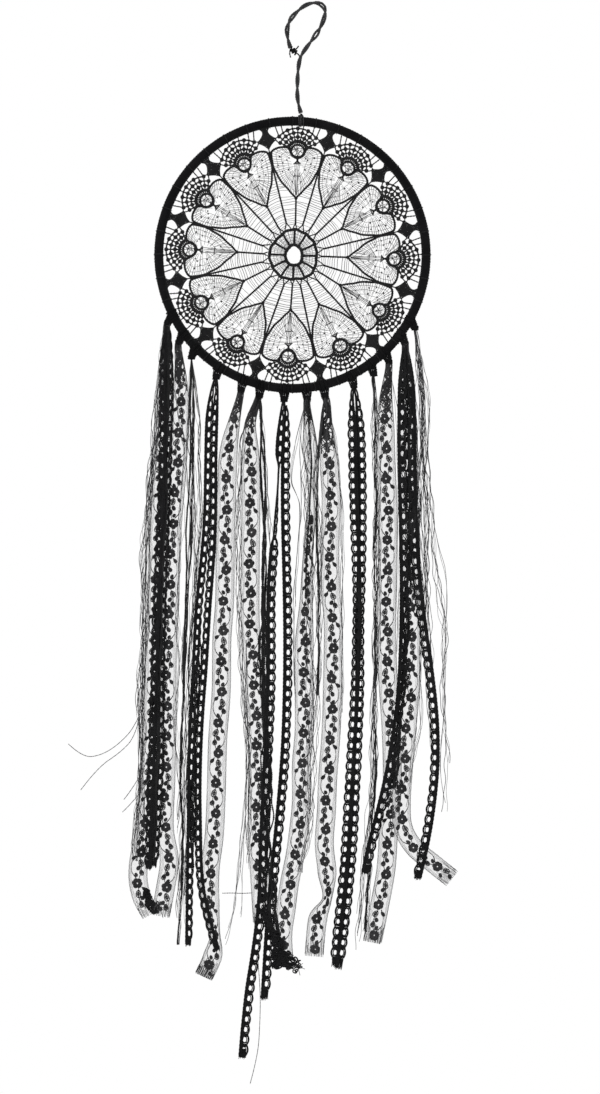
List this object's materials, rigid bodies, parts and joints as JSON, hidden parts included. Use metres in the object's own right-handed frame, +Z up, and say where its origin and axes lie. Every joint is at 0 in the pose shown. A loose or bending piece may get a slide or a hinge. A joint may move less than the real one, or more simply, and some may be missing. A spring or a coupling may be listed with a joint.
{
  "type": "dream catcher",
  "caption": "Black crochet dream catcher: wound hoop with a doily web, cord hanger and long fringe of lace ribbons, trims and threads that swing.",
  "frame": {"origin": "top of the hanging loop, on its inside, where the hook or nail bears", "axes": "+Z up, +X to the right seen from the front, -Y towards the front"},
  "size_m": [0.2819, 0.0154, 0.7813],
  "materials": {
    "steel_ring": "plain drawn wire",
    "wrap_tape": "black cotton tape, wound in close turns",
    "doily_cotton": "black mercerised crochet cotton",
    "hanger_cord": "black doubled cotton cord",
    "knot_cotton": "black cotton, pulled tight",
    "trim_cotton": "black crochet trim",
    "lace_ribbon": "black flowers on sheer net",
    "yarn": "soft black yarn",
    "fine_thread": "fine grey-black thread"
  },
  "bodies": {
    "hanger": {"hanger_cord": "hanger_cord", "hanger_knot": "hanger_cord"},
    "hitch": {"hanger_hitch": "hanger_cord"},
    "hoop": {"hoop_core": "steel_ring", "hoop_wrap": "wrap_tape", "doily": "doily_cotton", "doily_ties": "doily_cotton", "tail_knot_01": "knot_cotton", "tail_knot_02": "knot_cotton", "tail_knot_03": "knot_cotton", "tail_knot_04": "knot_cotton", "tail_knot_05": "knot_cotton", "tail_knot_06": "knot_cotton", "tail_knot_07": "knot_cotton", "tail_knot_08": "knot_cotton", "tail_knot_09": "knot_cotton", "tail_knot_10": "knot_cotton", "tail_knot_11": "knot_cotton", "tail_knot_12": "knot_cotton", "tail_knot_13": "knot_cotton", "tail_knot_14": "knot_cotton"},
    "fringe_1": {"crochet_trim_01": "trim_cotton", "crochet_trim_02": "trim_cotton", "flower_ribbon_01": "lace_ribbon", "flower_ribbon_02": "lace_ribbon", "thread_bundle_01": "fine_thread", "stray_thread_01": "fine_thread", "stray_thread_02": "fine_thread", "stray_thread_03": "fine_thread", "stray_thread_04": "fine_thread"},
    "fringe_2": {"yarn_01": "yarn"},
    "fringe_3": {"crochet_trim_03": "trim_cotton", "crochet_trim_04": "trim_cotton", "flower_ribbon_03": "lace_ribbon"},
    "fringe_4": {"crochet_trim_05": "trim_cotton", "crochet_trim_06": "trim_cotton", "flower_ribbon_04": "lace_ribbon", "yarn_02": "yarn", "stray_thread_05": "fine_thread"},
    "fringe_5": {"flower_ribbon_05": "lace_ribbon", "thread_bundle_02": "fine_thread"},
    "fringe_6": {"flower_ribbon_06": "lace_ribbon", "yarn_03": "yarn"},
    "fringe_7": {"crochet_trim_07": "trim_cotton", "crochet_trim_08": "trim_cotton"},
    "fringe_8": {"crochet_trim_09": "trim_cotton", "crochet_trim_10": "trim_cotton", "flower_ribbon_07": "lace_ribbon", "flower_ribbon_08": "lace_ribbon", "yarn_04": "yarn"},
    "fringe_9": {"thread_bundle_03": "fine_thread"}
  },
  "joints": [
    {"name": "hoop_spin", "type": "hinge", "parent": "hanger", "child": "hitch", "pos_m": [-0.01092, 0, -0.0788], "axis": [0, 0, 1], "range_deg": [-180, 180]},
    {"name": "hoop_tilt", "type": "hinge", "parent": "hitch", "child": "hoop", "pos_m": [-0.01092, 0, -0.08439], "axis": [0.998, 0, -0.0628], "range_deg": [-15, 15]},
    {"name": "fringe_1_swing", "type": "hinge", "parent": "hoop", "child": "fringe_1", "pos_m": [-0.10328, 0, -0.23008], "axis": [1, 0, 0], "range_deg": [-20, 20]},
    {"name": "fringe_2_swing", "type": "hinge", "parent": "hoop", "child": "fringe_2", "pos_m": [-0.09001, 0, -0.25451], "axis": [1, 0, 0], "range_deg": [-20, 20]},
    {"name": "fringe_3_swing", "type": "hinge", "parent": "hoop", "child": "fringe_3", "pos_m": [-0.06324, 0, -0.26913], "axis": [1, 0, 0], "range_deg": [-20, 20]},
    {"name": "fringe_4_swing", "type": "hinge", "parent": "hoop", "child": "fringe_4", "pos_m": [-0.03203, 0, -0.28261], "axis": [1, 0, 0], "range_deg": [-20, 20]},
    {"name": "fringe_5_swing", "type": "hinge", "parent": "hoop", "child": "fringe_5", "pos_m": [-0.00639, 0, -0.28494], "axis": [1, 0, 0], "range_deg": [-20, 20]},
    {"name": "fringe_6_swing", "type": "hinge", "parent": "hoop", "child": "fringe_6", "pos_m": [0.00652, 0, -0.28274], "axis": [1, 0, 0], "range_deg": [-20, 20]},
    {"name": "fringe_7_swing", "type": "hinge", "parent": "hoop", "child": "fringe_7", "pos_m": [0.02734, 0, -0.27531], "axis": [1, 0, 0], "range_deg": [-20, 20]},
    {"name": "fringe_8_swing", "type": "hinge", "parent": "hoop", "child": "fringe_8", "pos_m": [0.05301, 0, -0.24452], "axis": [1, 0, 0], "range_deg": [-20, 20]},
    {"name": "fringe_9_swing", "type": "hinge", "parent": "hoop", "child": "fringe_9", "pos_m": [0.0716, 0, -0.23352], "axis": [1, 0, 0], "range_deg": [-20, 20]}
  ]
}
